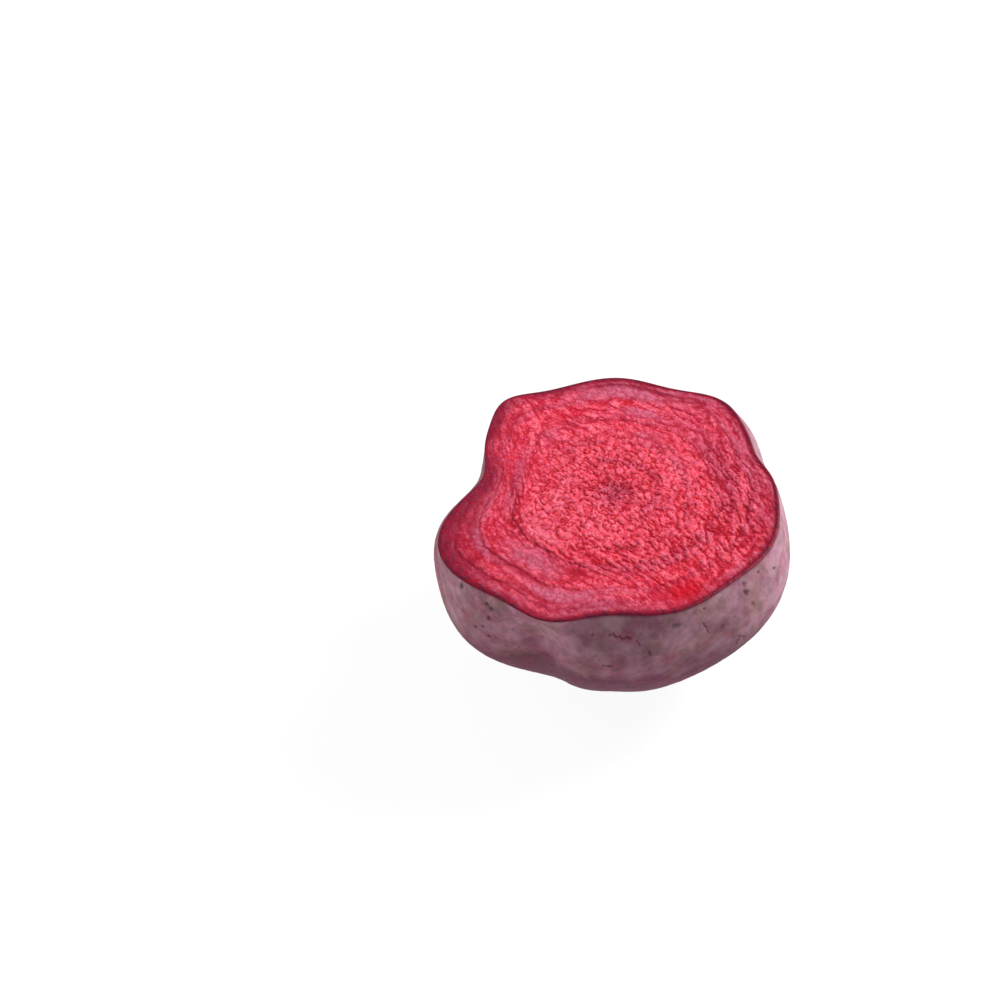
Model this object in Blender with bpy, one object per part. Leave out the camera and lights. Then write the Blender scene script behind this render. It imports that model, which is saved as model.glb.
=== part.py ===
"""The root end of a beetroot, cut across its growth rings and lying with the cut face up.

Metres, +Z up. The origin is the middle of the footprint, on the surface that the piece rests on.
The growth axis, which the rings circle, stands upright close to that origin. A bearing is an
angle about it, in degrees, from +X towards +Y.
"""

import math
from collections import namedtuple

import bmesh
import bpy
from mathutils import Vector

MM = 0.001

# Heights above the resting surface
CUT_HEIGHT = 50.0 * MM
BELLY_HEIGHT = 35.4 * MM

# Mean radii about the growth axis
RIM_RADIUS = 41.3 * MM
BELLY_RADIUS = 43.9 * MM
SCAR_RADIUS = 9.0 * MM

# A rib stands out by its reach at its bearing and fades over its spread. A negative reach is a furrow.
Rib = namedtuple("Rib", "bearing reach spread")
RIM_RIBS = (
    Rib(20, -2.0 * MM, 10),
    Rib(50, 3.8 * MM, 13),
    Rib(87, 2.1 * MM, 15),
    Rib(129, 3.7 * MM, 11),
    Rib(172, -8.6 * MM, 22),
    Rib(209, 9.2 * MM, 28),
    Rib(247, 5.8 * MM, 13),
    Rib(290, 2.4 * MM, 17),
    Rib(334, 1.8 * MM, 18),
)
BELLY_RIBS = (
    Rib(45, 6.0 * MM, 16),
    Rib(133, -5.5 * MM, 22),
    Rib(165, -6.0 * MM, 16),
    Rib(226, 6.5 * MM, 46),
    Rib(243, -7.2 * MM, 11),
    Rib(281, 1.5 * MM, 11),
    Rib(328, 3.6 * MM, 30),
)

# The underside is a superellipse from the belly in to the root scar
UNDERSIDE_WIDTH_POWER = 1.62
UNDERSIDE_DEPTH_POWER = 1.88
RIB_FADE = 1.2

# The thick root was trimmed off flat. The piece stands on that scar, under its own weight.
SCAR_OFFSET = Vector((-0.6 * MM, -1.6 * MM, 0.0))
NECK_RADIUS = 15.0 * MM
NECK_WIDTH = 4.5 * MM
NECK_DEPTH = 0.9 * MM

# Low swellings of the skin: waves around it, of which one set stands upright and one leans.
# The phase is in radians, and the length is that of one radian down the skin.
Wave = namedtuple("Wave", "height count phase length")
UPRIGHT_WAVE = Wave(0.35 * MM, 5, 1.3, 9.0 * MM)
LEANING_WAVE = Wave(0.25 * MM, 8, 0.5, 7.0 * MM)
SWELLING_FADE_LOW = 12.0 * MM
SWELLING_FADE_HIGH = 6.0 * MM

# Growth rings on the cut face: where each begins, as a share of the way from the axis to the rim
RING_EDGES = (0.0, 0.08, 0.17, 0.27, 0.375, 0.485, 0.60, 0.73, 0.89, 1.0)
RING_GROOVE = 0.4 * MM
RING_LOBE_POWER = 2.0

# Rows of faces, from the middle of the cut face out and down to the middle of the scar
COLUMNS = 84
ROWS_PER_RING = 3
FACE_ROWS = ROWS_PER_RING * (len(RING_EDGES) - 1)
SHOULDER_ROWS = 4
UNDERSIDE_ROWS = 19
SCAR_ROWS = 2
ROWS = FACE_ROWS + SHOULDER_ROWS + UNDERSIDE_ROWS + SCAR_ROWS

Finish = namedtuple("Finish", "name colour roughness")
FINISHES = (
    Finish("cut_flesh", (0.60, 0.04, 0.08), 0.30),
    Finish("dry_skin", (0.20, 0.09, 0.11), 0.60),
    Finish("root_scar", (0.30, 0.17, 0.12), 0.80),
)
FLESH, SKIN, SCAR = range(3)


def smooth_step(share):
    """Rises from 0 to 1 with level ends, and is flat outside them."""
    share = min(max(share, 0.0), 1.0)
    return share * share * (3 - 2 * share)


def rib_reach(ribs, bearing):
    """How far these ribs stand out at this bearing, as a sum of bell curves."""
    total = 0.0
    for rib in ribs:
        away = (bearing - rib.bearing + 180) % 360 - 180
        total += rib.reach * math.exp(-((away / rib.spread) ** 2))
    return total


def rim_radius(bearing):
    return RIM_RADIUS + rib_reach(RIM_RIBS, bearing)


def swelling(bearing, height):
    """The skin's low swellings, none at the rim or near the scar."""
    turn = math.radians(bearing)
    upright = math.sin(UPRIGHT_WAVE.count * turn + UPRIGHT_WAVE.phase)
    upright *= math.sin(height / UPRIGHT_WAVE.length)
    leaning = math.sin(LEANING_WAVE.count * turn - height / LEANING_WAVE.length + LEANING_WAVE.phase)
    fade_low = min(height / SWELLING_FADE_LOW, 1.0)
    fade_high = min(max((CUT_HEIGHT - height) / SWELLING_FADE_HIGH, 0.0), 1.0)
    return (UPRIGHT_WAVE.height * upright + LEANING_WAVE.height * leaning) * fade_low * fade_high


def around_axis(bearing, radius, height):
    """A point at this radius, with its section drawn over from the growth axis to the scar."""
    turn = math.radians(bearing)
    drawn = max(1 - height / BELLY_HEIGHT, 0.0) ** 2
    return Vector((radius * math.cos(turn), radius * math.sin(turn), height)) + SCAR_OFFSET * drawn


def cut_face_point(bearing, rings_out):
    """The knife's face: raised rings with grooves between, round at the axis and lobed at the rim."""
    inner = min(int(rings_out), len(RING_EDGES) - 2)
    share = RING_EDGES[inner] + (rings_out - inner) * (RING_EDGES[inner + 1] - RING_EDGES[inner])
    lobes = (rim_radius(bearing) - RIM_RADIUS) * share**RING_LOBE_POWER
    groove = 0.0
    if share < 1.0:
        groove = (0.5 + 0.5 * math.cos(math.tau * rings_out)) ** 2
    return around_axis(bearing, (RIM_RADIUS + lobes) * share, CUT_HEIGHT - RING_GROOVE * groove)


def shoulder_point(bearing, share):
    """From the rim, share 0, outwards and down to the belly, share 1."""
    rim = rim_radius(bearing)
    belly = BELLY_RADIUS + rib_reach(BELLY_RIBS, bearing)
    height = CUT_HEIGHT + (BELLY_HEIGHT - CUT_HEIGHT) * share
    radius = rim + (belly - rim) * (1 - (1 - share) ** 2)
    return around_axis(bearing, radius + swelling(bearing, height), height)


def underside_point(bearing, share):
    """From the belly, share 0, in under it to the scar's edge, share 1. The ribs fade on the way."""
    turn = share * math.pi / 2
    height = BELLY_HEIGHT * (1 - math.sin(turn) ** (2 / UNDERSIDE_DEPTH_POWER))
    ribs = rib_reach(BELLY_RIBS, bearing) * smooth_step(height / BELLY_HEIGHT * RIB_FADE)
    out = max(math.cos(turn), 0.0) ** (2 / UNDERSIDE_WIDTH_POWER)
    radius = SCAR_RADIUS + (BELLY_RADIUS + ribs - SCAR_RADIUS) * out
    if share < 1.0:
        height += NECK_DEPTH * math.exp(-(((radius - NECK_RADIUS) / NECK_WIDTH) ** 2))
    else:
        height = 0.0
    return around_axis(bearing, radius + swelling(bearing, height), height)


def surface_point(bearing, row):
    """The surface at a row of the ball that the piece is shaped from, counted from its top."""
    if row <= FACE_ROWS:
        return cut_face_point(bearing, row / ROWS_PER_RING)
    row -= FACE_ROWS
    if row <= SHOULDER_ROWS:
        return shoulder_point(bearing, row / SHOULDER_ROWS)
    row -= SHOULDER_ROWS
    if row <= UNDERSIDE_ROWS:
        return underside_point(bearing, row / UNDERSIDE_ROWS)
    row -= UNDERSIDE_ROWS
    return around_axis(bearing, SCAR_RADIUS * (1 - row / SCAR_ROWS), 0.0)


def row_of(place):
    """Which row of the unit ball this place is on, with a fraction for the middle of a face."""
    return math.acos(max(-1.0, min(1.0, place.normalized().z))) / math.pi * ROWS


def finish_of(row):
    """The finish of a face whose middle lies on this row."""
    if row < FACE_ROWS:
        return FLESH
    return SKIN if row < ROWS - SCAR_ROWS else SCAR


def shaped_ball():
    """A ball whose top is opened out into the cut face and whose foot is drawn in to the scar."""
    shape = bmesh.new()
    bmesh.ops.create_uvsphere(shape, u_segments=COLUMNS, v_segments=ROWS, radius=1.0)
    for face in shape.faces:
        face.material_index = finish_of(row_of(face.calc_center_median()))
    for corner in shape.verts:
        bearing = math.degrees(math.atan2(corner.co.y, corner.co.x))
        corner.co = surface_point(bearing, round(row_of(corner.co)))
    return shape


def centre_footprint(shape):
    """Moves the shape level until the middle of its footprint is the origin."""
    for axis in range(2):
        places = [corner.co[axis] for corner in shape.verts]
        middle = (min(places) + max(places)) / 2
        for corner in shape.verts:
            corner.co[axis] -= middle


def principled(finish):
    material = bpy.data.materials.new(finish.name)
    material.use_nodes = True
    shader = material.node_tree.nodes["Principled BSDF"]
    shader.inputs["Base Color"].default_value = (*finish.colour, 1.0)
    shader.inputs["Roughness"].default_value = finish.roughness
    shader.inputs["Metallic"].default_value = 0.0
    return material


def clear_scene():
    for old in list(bpy.data.objects):
        bpy.data.objects.remove(old)


def build_beetroot():
    """The whole piece as one object: flesh, skin and scar grew as one body."""
    shape = shaped_ball()
    centre_footprint(shape)
    mesh = bpy.data.meshes.new("beetroot")
    shape.to_mesh(mesh)
    shape.free()
    for finish in FINISHES:
        mesh.materials.append(principled(finish))
    mesh.shade_smooth()
    mesh.set_sharp_from_angle(angle=math.radians(50))
    beetroot = bpy.data.objects.new("beetroot", mesh)
    collection = bpy.data.collections.new("cut_beetroot")
    bpy.context.scene.collection.children.link(collection)
    collection.objects.link(beetroot)
    return beetroot


clear_scene()
build_beetroot()
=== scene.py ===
"""The looks of a halved beetroot: wet cut flesh with its growth rings, in a dry, earthy skin.

The shapes are worked out in millimetres around the growth axis, and are put into the meshes in
metres, where the frame's solid stands. A bearing is an angle about that axis, in radians from +X
towards +Y unless a name says degrees. The cut face is level, square to the axis.
"""

import logging
import math
from collections.abc import Mapping
from dataclasses import dataclass, replace
from enum import Enum

import bpy
import numpy as np
from mathutils import Euler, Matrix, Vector


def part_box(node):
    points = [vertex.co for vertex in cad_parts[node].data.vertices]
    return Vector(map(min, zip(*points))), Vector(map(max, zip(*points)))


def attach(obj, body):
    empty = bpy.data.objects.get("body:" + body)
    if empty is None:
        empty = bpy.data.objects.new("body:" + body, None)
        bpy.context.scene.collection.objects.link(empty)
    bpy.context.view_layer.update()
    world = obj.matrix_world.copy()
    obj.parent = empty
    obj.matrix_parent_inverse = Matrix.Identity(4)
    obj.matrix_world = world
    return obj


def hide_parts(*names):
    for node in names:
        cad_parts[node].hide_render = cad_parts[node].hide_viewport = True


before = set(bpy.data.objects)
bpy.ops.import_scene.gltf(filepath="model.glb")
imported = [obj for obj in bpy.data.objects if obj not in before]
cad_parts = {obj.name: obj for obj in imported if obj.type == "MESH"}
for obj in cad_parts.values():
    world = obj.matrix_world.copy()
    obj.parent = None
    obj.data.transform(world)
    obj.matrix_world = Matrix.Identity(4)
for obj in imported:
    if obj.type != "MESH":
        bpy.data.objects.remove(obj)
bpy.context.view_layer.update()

log = logging.getLogger("beetroot")

MM = 0.001
FULL_TURN = 2 * math.pi

# A row of points that all lie this close together, in millimetres, is one point
ONE_POINT = 1e-6

# A turn that takes level points off the noise's grid, whose lines would show as squares in the folds
SLANT = np.array(Euler((0.6, 0.5, 0.9)).to_matrix())

# Sockets of a Mix node in colour mode
FACTOR, MIX_A, MIX_B, MIXED = 0, 6, 7, 2


class Slot(Enum):
    """The record's material slots."""

    FLESH = "flesh"
    SKIN = "skin"
    SCAR = "scar"


def linear(hex_colour: str) -> tuple[float, float, float, float]:
    """Turns an sRGB colour into the linear one that a shader takes.

    Args:
        hex_colour: Six hex digits after a hash, such as "#c41e3a".

    Returns:
        Red, green and blue as linear light, and an alpha of 1.
    """
    parts = [int(hex_colour[place : place + 2], 16) / 255 for place in (1, 3, 5)]
    light = [part / 12.92 if part <= 0.04045 else ((part + 0.055) / 1.055) ** 2.4 for part in parts]
    return (*light, 1.0)


def smooth_step(share: np.ndarray) -> np.ndarray:
    """Rises from 0 to 1 with level ends: three times the square less twice the cube, held outside."""
    held = np.clip(share, 0.0, 1.0)
    return held * held * (3 - 2 * held)


def ramp(value: np.ndarray, start: float, width: float) -> np.ndarray:
    """Rises smoothly from 0 where the value is the start to 1 where it is a width more."""
    return smooth_step((value - start) / width)


def hashed(seed: int, *whole: np.ndarray) -> np.ndarray:
    """Gives each set of whole numbers its own repeatable random number.

    Each number is mixed into the last result by exclusive or, the product with a large odd number
    is taken, and its high bits are folded back onto its low ones.

    Args:
        seed: Picks one of many such patterns.
        whole: Arrays of whole numbers, all of one shape.

    Returns:
        Numbers from 0 to 1 in an array of that shape.
    """
    mixed = np.full(whole[0].shape, seed * 7919 + 101, np.uint32)
    for part in whole:
        mixed = (mixed ^ part.astype(np.int64).astype(np.uint32)) * np.uint32(2654435761)
        mixed ^= mixed >> np.uint32(15)
        mixed = mixed * np.uint32(2246822519)
        mixed ^= mixed >> np.uint32(13)
    return mixed / 2.0**32


def swells(places: np.ndarray, seed: int) -> np.ndarray:
    """Smooth random swells and hollows, about one in each unit of length.

    Every whole-number point has a hashed direction. A place's height above each of the eight
    around it is how far it lies along that direction, and the eight are blended by the smooth
    step of how far along the cell it is on each axis.

    Args:
        places: Points, with their three coordinates last.
        seed: Picks the pattern.

    Returns:
        Values from about -1 to 1, one for each point.
    """
    cell = np.floor(places)
    offset = places - cell
    blend = smooth_step(offset)
    total = np.zeros(places.shape[:-1])
    for corner in np.ndindex(2, 2, 2):
        at = np.moveaxis(cell + corner, -1, 0)
        weight = np.where(np.array(corner, bool), blend, 1 - blend).prod(axis=-1)
        turn = hashed(seed, *at) * FULL_TURN
        rise = 2 * hashed(seed + 499, *at) - 1
        level = np.sqrt(1 - rise**2)
        slope = np.stack([level * np.cos(turn), level * np.sin(turn), rise], axis=-1)
        total += weight * ((offset - corner) * slope).sum(axis=-1)
    return 2 * total


def clouds(places: np.ndarray, size: float, seed: int, octaves: int = 3) -> np.ndarray:
    """Cloudy noise: swells of one size, with half as large ones at half the strength on them, and so on.

    Args:
        places: Points, with their three coordinates last.
        size: Width of the largest swells, in the points' units.
        seed: Picks the pattern.
        octaves: How many sizes are added up.

    Returns:
        Values from about -1 to 1, one for each point.
    """
    total = np.zeros(places.shape[:-1])
    for octave in range(octaves):
        total += 0.5**octave * swells(places * (2**octave / size) + 0.37 * octave, seed + octave)
    return total / (2 - 0.5 ** (octaves - 1))


def on_disc(bearing: np.ndarray, out: np.ndarray) -> np.ndarray:
    """Level points at these bearings and distances from the growth axis."""
    return np.stack([out * np.cos(bearing), out * np.sin(bearing), np.zeros(out.shape)], axis=-1)


def combed(flat: np.ndarray, way: np.ndarray, size: float, seed: int, comb: np.ndarray) -> np.ndarray:
    """Swells drawn out one way: the mean of five that are slid along it, made as strong as one is.

    Args:
        flat: Level points, with their three coordinates last.
        way: The unit direction at each point.
        size: Width of the swells.
        seed: Picks the pattern.
        comb: How far they are slid to each side, as a share of their width.

    Returns:
        Values from about -1 to 1, one for each place.
    """
    total = np.zeros(flat.shape[:-1])
    for slide in (-1, -0.5, 0, 0.5, 1):
        total += swells((flat / size + (slide * comb)[..., None] * way) @ SLANT, seed)
    return total / 5 * (1 + 0.7 * comb)


def degrees_from(bearing: np.ndarray, middle_degrees: float) -> np.ndarray:
    """How far bearings lie from one given in degrees, from -180 to 180."""
    return (np.degrees(bearing) - middle_degrees + 180) % 360 - 180


def bell(bearing: np.ndarray, middle_degrees: float, spread_degrees: float) -> np.ndarray:
    """A bell curve round the circle: 1 at its middle, and about a third at its spread from there."""
    return np.exp(-((degrees_from(bearing, middle_degrees) / spread_degrees) ** 2))


def facing(bearing: np.ndarray, middle_degrees: float, lead: float = 0.5) -> np.ndarray:
    """The side that faces a bearing, 1, going over to the far side, 0. The lead widens it."""
    return smooth_step(lead + 0.9 * np.cos(bearing - math.radians(middle_degrees)))


@dataclass(frozen=True)
class Rib:
    """A lobe of the outline, which fades as a bell curve to both sides. A negative reach is a furrow."""

    bearing_degrees: float
    reach: float
    spread_degrees: float


@dataclass(frozen=True)
class Wave:
    """A low wave of the skin: its height, how many go round, its phase, and the length of one radian."""

    height: float
    count: int
    phase: float
    length: float


@dataclass(frozen=True)
class RootForm:
    """The smooth body, in millimetres, which the fine relief is laid on.

    Its numbers are those of the solid. The solid's rows and columns are there to find its footprint.
    """

    cut_height: float = 50.0
    belly_height: float = 35.4
    rim_radius: float = 41.3
    belly_radius: float = 43.9
    scar_radius: float = 9.0
    scar_offset: tuple[float, float] = (-0.6, -1.6)
    rim_ribs: tuple[Rib, ...] = (
        Rib(20, -2.0, 10),
        Rib(50, 3.8, 13),
        Rib(87, 2.1, 15),
        Rib(129, 3.7, 11),
        Rib(172, -8.6, 22),
        Rib(209, 9.2, 28),
        Rib(247, 5.8, 13),
        Rib(290, 2.4, 17),
        Rib(334, 1.8, 18),
    )
    belly_ribs: tuple[Rib, ...] = (
        Rib(45, 6.0, 16),
        Rib(133, -5.5, 22),
        Rib(165, -6.0, 16),
        Rib(226, 6.5, 46),
        Rib(243, -7.2, 11),
        Rib(281, 1.5, 11),
        Rib(328, 3.6, 30),
    )
    width_power: float = 1.62
    depth_power: float = 1.88
    rib_fade: float = 1.2
    neck_radius: float = 15.0
    neck_width: float = 4.5
    neck_depth: float = 0.9
    lobe_power: float = 2.0
    upright_wave: Wave = Wave(height=0.35, count=5, phase=1.3, length=9.0)
    leaning_wave: Wave = Wave(height=0.25, count=8, phase=0.5, length=7.0)
    fade_low: float = 12.0
    fade_high: float = 6.0
    solid_columns: int = 84
    solid_shoulder_rows: int = 4
    solid_underside_rows: int = 19

    def reach(self, ribs: tuple[Rib, ...], bearing: np.ndarray) -> np.ndarray:
        """How far these ribs stand out: the sum of a bell curve for each, round the circle.

        Args:
            ribs: The rim's or the belly's.
            bearing: Bearings of the places.

        Returns:
            Millimetres outwards, one for each place.
        """
        total = np.zeros(bearing.shape)
        for rib in ribs:
            total += rib.reach * bell(bearing, rib.bearing_degrees, rib.spread_degrees)
        return total

    def swelling(self, bearing: np.ndarray, height: np.ndarray) -> np.ndarray:
        """The skin's low waves: some upright and some leaning, and none at the rim or the scar.

        Args:
            bearing: Bearings of the places.
            height: Their heights.

        Returns:
            Millimetres outwards: sines round the root and down it, times the waves' heights.
        """
        tall, leant = self.upright_wave, self.leaning_wave
        upright = np.sin(tall.count * bearing + tall.phase) * np.sin(height / tall.length)
        leaning = np.sin(leant.count * bearing - height / leant.length + leant.phase)
        fade = np.clip(height / self.fade_low, 0, 1)
        fade = fade * np.clip((self.cut_height - height) / self.fade_high, 0, 1)
        return (tall.height * upright + leant.height * leaning) * fade

    def around_axis(self, bearing: np.ndarray, radius: np.ndarray, height: np.ndarray) -> np.ndarray:
        """Points at these radii, with the sections drawn over from the growth axis to the scar.

        Args:
            bearing: Bearings of the places.
            radius: Their radii.
            height: Their heights.

        Returns:
            The points. Each is moved by the scar's offset times the square of how far down it lies.
        """
        drawn = np.clip(1 - height / self.belly_height, 0, 1) ** 2
        across = radius * np.cos(bearing) + self.scar_offset[0] * drawn
        away = radius * np.sin(bearing) + self.scar_offset[1] * drawn
        return np.stack(np.broadcast_arrays(across, away, height), axis=-1)

    def face_radius(self, bearing: np.ndarray, share: np.ndarray) -> np.ndarray:
        """Radius on the cut face: the mean radius, with the rim's lobes fading in on the way out."""
        lobes = self.reach(self.rim_ribs, bearing) * share**self.lobe_power
        return (self.rim_radius + lobes) * share

    def shoulder(self, bearing: np.ndarray, share: np.ndarray) -> np.ndarray:
        """From the rim, share 0, out to the belly, share 1, on a quarter of a parabola.

        Args:
            bearing: Bearings of the places.
            share: How far down they lie.

        Returns:
            Points on the smooth body.
        """
        rim = self.rim_radius + self.reach(self.rim_ribs, bearing)
        belly = self.belly_radius + self.reach(self.belly_ribs, bearing)
        height = self.cut_height + (self.belly_height - self.cut_height) * share
        radius = rim + (belly - rim) * (1 - (1 - share) ** 2)
        return self.around_axis(bearing, radius + self.swelling(bearing, height), height)

    def underside(self, bearing: np.ndarray, share: np.ndarray) -> np.ndarray:
        """From the belly, share 0, in to the scar, share 1, on a superellipse whose ribs fade away.

        A ring-shaped dent round the scar leaves the root's neck, and ends on level ground.

        Args:
            bearing: Bearings of the places.
            share: How far in they lie.

        Returns:
            Points on the smooth body.
        """
        turn = share * math.pi / 2
        height = self.belly_height * (1 - np.sin(turn) ** (2 / self.depth_power))
        fade = smooth_step(height / self.belly_height * self.rib_fade)
        ribs = self.reach(self.belly_ribs, bearing) * fade
        out = np.clip(np.cos(turn), 0, 1) ** (2 / self.width_power)
        radius = self.scar_radius + (self.belly_radius + ribs - self.scar_radius) * out
        dent = np.exp(-(((radius - self.neck_radius) / self.neck_width) ** 2))
        height = height + self.neck_depth * dent * smooth_step((1 - share) / 0.04)
        return self.around_axis(bearing, radius + self.swelling(bearing, height), height)

    def axis_in_frame(self, low: np.ndarray, high: np.ndarray) -> np.ndarray:
        """Finds where the growth axis stands, as the solid's footprint is centred on the frame's origin.

        Args:
            low: The solid's lowest corner, in millimetres.
            high: Its highest corner.

        Returns:
            The foot of the growth axis in the frame, in millimetres.
        """
        bearing = np.arange(self.solid_columns)[:, None] * (FULL_TURN / self.solid_columns)
        down, under = self.solid_shoulder_rows, self.solid_underside_rows
        upper = self.shoulder(bearing, np.arange(down + 1)[None] / down)
        lower = self.underside(bearing, np.arange(under + 1)[None] / under)
        outline = np.concatenate([upper.reshape(-1, 3), lower.reshape(-1, 3)])
        middle = (outline.min(axis=0) + outline.max(axis=0)) / 2
        solid = (low + high) / 2
        return np.array([solid[0] - middle[0], solid[1] - middle[1], low[2]])


@dataclass(frozen=True)
class Cobbles:
    """Lumps laid in rows along the knife's way, as the cut tissue shrinks and wrinkles when it dries.

    Sizes are in millimetres: pitch from row to row, length along a row, and how far the rows
    wander. The jitter is how far a lump's centre may stray, as a share of its length.
    """

    pitch: float
    length: float
    wander: float
    seed: int
    way_degrees: float = -60.0
    jitter: float = 0.95

    def lay(self, flat: np.ndarray) -> tuple[np.ndarray, np.ndarray, np.ndarray]:
        """Finds each place's lump and how near it is to the lump's edge.

        The face is split into oblongs with a jittered centre in each. The gap is the distance to
        the second nearest centre less that to the nearest, both counted in lumps.

        Args:
            flat: Level points, with their three coordinates last.

        Returns:
            The gap, a random number for each lump, and how high the lump's tilt lifts the place.
        """
        turn = math.radians(self.way_degrees)
        drift = 3.2 * self.pitch
        stray = [self.wander * clouds(flat, drift, self.seed + 11 + axis, 2) for axis in (0, 1)]
        along = (flat[..., 0] * math.cos(turn) + flat[..., 1] * math.sin(turn) + stray[0]) / self.length
        across = (flat[..., 1] * math.cos(turn) - flat[..., 0] * math.sin(turn) + stray[1]) / self.pitch
        nearest = np.full(along.shape, 99.0)
        second = np.full(along.shape, 99.0)
        tone = np.zeros(along.shape)
        lift = np.zeros(along.shape)
        for step in np.ndindex(3, 3):
            row = np.floor(across) + step[0] - 1
            place = np.floor(along + 0.5 * row) + step[1] - 1
            draw = [hashed(self.seed + 1 + number, row, place) - 0.5 for number in range(5)]
            away = across - (row + 0.5 + self.jitter * draw[0])
            ahead = along + 0.5 * row - (place + 0.5 + self.jitter * draw[1])
            distance = np.hypot(away, ahead)
            closer = distance < nearest
            second = np.where(closer, nearest, np.minimum(second, distance))
            nearest = np.where(closer, distance, nearest)
            tone = np.where(closer, draw[2], tone)
            lift = np.where(closer, draw[3] * away + draw[4] * ahead, lift)
        return second - nearest, tone, lift


@dataclass(frozen=True)
class Zone:
    """A soft-edged stretch of the cut face. The share is how far out it lies, 1 being the rim."""

    bearing_degrees: float
    share: float
    spread_degrees: float
    share_spread: float
    strength: float = 1.0


def zones(*rows: tuple[float, ...]) -> tuple[Zone, ...]:
    """Makes a zone from each row of numbers, which are its fields in their order."""
    return tuple(Zone(*row) for row in rows)


def zone_cover(spots: tuple[Zone, ...], bearing: np.ndarray, share: np.ndarray) -> np.ndarray:
    """The strongest of these zones at each place, each a bell curve round its middle.

    Args:
        spots: The zones.
        bearing: Bearings of the places.
        share: How far out they lie, 1 being the rim.

    Returns:
        How far the zones cover each place, up to their strengths.
    """
    cover = np.zeros(share.shape)
    for zone in spots:
        aside = degrees_from(bearing, zone.bearing_degrees) / zone.spread_degrees
        deep = (share - zone.share) / zone.share_spread
        cover = np.maximum(cover, zone.strength * np.exp(-(aside**2) - deep**2))
    return cover


@dataclass
class Sheet:
    """Part of the surface: points in millimetres in rows, each row a closed ring round the growth axis.

    The rows run outwards on top and then downwards. A field is a value for each point, which the
    materials read by its name.
    """

    points: np.ndarray
    fields: dict[str, np.ndarray]
    normals: np.ndarray | None = None

    def rows(self, first: int, last: int) -> "Sheet":
        """The sheet's rows from the first to the last, both included.

        Args:
            first: The first row.
            last: The last row, which may lie past the end.

        Returns:
            A sheet of those rows, with their fields and normals.
        """
        kept = slice(first, last + 1)
        fields = {name: values[kept] for name, values in self.fields.items()}
        return Sheet(self.points[kept], fields, self.normals[kept])

    def piece(
        self, name: str, foot: np.ndarray, material: bpy.types.Material, slot: Slot
    ) -> bpy.types.Object:
        """Makes the mesh: each point is joined to the next in its row and in the row below.

        A first or last row that has shrunk to one point becomes the middle of a fan.

        Args:
            name: The object's name.
            foot: Foot of the growth axis in the frame, in millimetres.
            material: The piece's finish.
            slot: The record's slot for it. Not used.

        Returns:
            The object, at the origin, shaded smooth, with the fields as attributes.
        """
        rows, columns = self.points.shape[:2]
        number = np.arange(rows * columns).reshape(rows, columns)
        for end in (0, -1):
            if np.ptp(self.points[end], axis=0).max() < ONE_POINT:
                number[end] = number[end, 0]
        kept = np.unique(number)
        number = np.searchsorted(kept, number)
        after = np.roll(number, -1, axis=1)
        corners = np.stack([number[:-1], number[1:], after[1:], after[:-1]], axis=-1).reshape(-1, 4)
        top_fan = corners[:, 0] == corners[:, 3]
        end_fan = corners[:, 1] == corners[:, 2]
        faces = corners[top_fan][:, :3].tolist()
        faces += corners[~top_fan & ~end_fan].tolist()
        faces += corners[end_fan][:, [0, 1, 3]].tolist()
        mesh = bpy.data.meshes.new(name)
        placed = (self.points.reshape(-1, 3)[kept] + foot) * MM
        mesh.from_pydata(placed.tolist(), [], faces)
        mesh.shade_smooth()
        mesh.normals_split_custom_set_from_vertices(self.normals.reshape(-1, 3)[kept].tolist())
        for field_name, values in self.fields.items():
            attribute = mesh.attributes.new(field_name, "FLOAT", "POINT")
            attribute.data.foreach_set("value", values.reshape(-1)[kept].astype(np.float32))
        mesh.materials.append(material)
        piece = bpy.data.objects.new(name, mesh)
        bpy.context.scene.collection.objects.link(piece)
        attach(piece, "root")
        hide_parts("beetroot")
        log.info("%s: %d faces", name, len(mesh.polygons))
        return piece


def outward(points: np.ndarray) -> np.ndarray:
    """Unit normals of a grid of rows: across the step to the next row and that to the next column.

    Args:
        points: Rows by columns by 3, with closed rows.

    Returns:
        Normals of the same shape. A row that is one point takes the mean of its neighbour's.
    """
    down = np.gradient(points, axis=0)
    along = np.roll(points, -1, axis=1) - np.roll(points, 1, axis=1)
    normals = np.cross(down, along)
    for end, neighbour in ((0, 1), (-1, -2)):
        if np.ptp(points[end], axis=0).max() < ONE_POINT:
            normals[end] = normals[neighbour].mean(axis=0)
    return normals / np.maximum(np.linalg.norm(normals, axis=-1, keepdims=True), 1e-9)


@dataclass(frozen=True)
class FacePlaces:
    """Places on the cut face, and how far each belongs to some sides of it, from 0 to 1.

    The share is how far out a place lies, 1 being the rim. Out and from the rim are in millimetres.
    """

    bearing: np.ndarray
    share: np.ndarray
    out: np.ndarray
    from_rim: np.ndarray
    flat: np.ndarray
    lower_left: np.ndarray
    right: np.ndarray
    top: np.ndarray


@dataclass(frozen=True)
class Wrinkling:
    """How the tissue has wrinkled at each place.

    Fineness is 0 where the lumps are coarse and 1 where they are fine, and rugged is how far they
    stand up. Banded is how far the folds follow the rings, comb how far they are drawn out as a
    share of their width, and pull how strongly the rings turn them their way.
    """

    fineness: np.ndarray
    rugged: np.ndarray
    banded: np.ndarray
    comb: np.ndarray
    pull: np.ndarray


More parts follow.
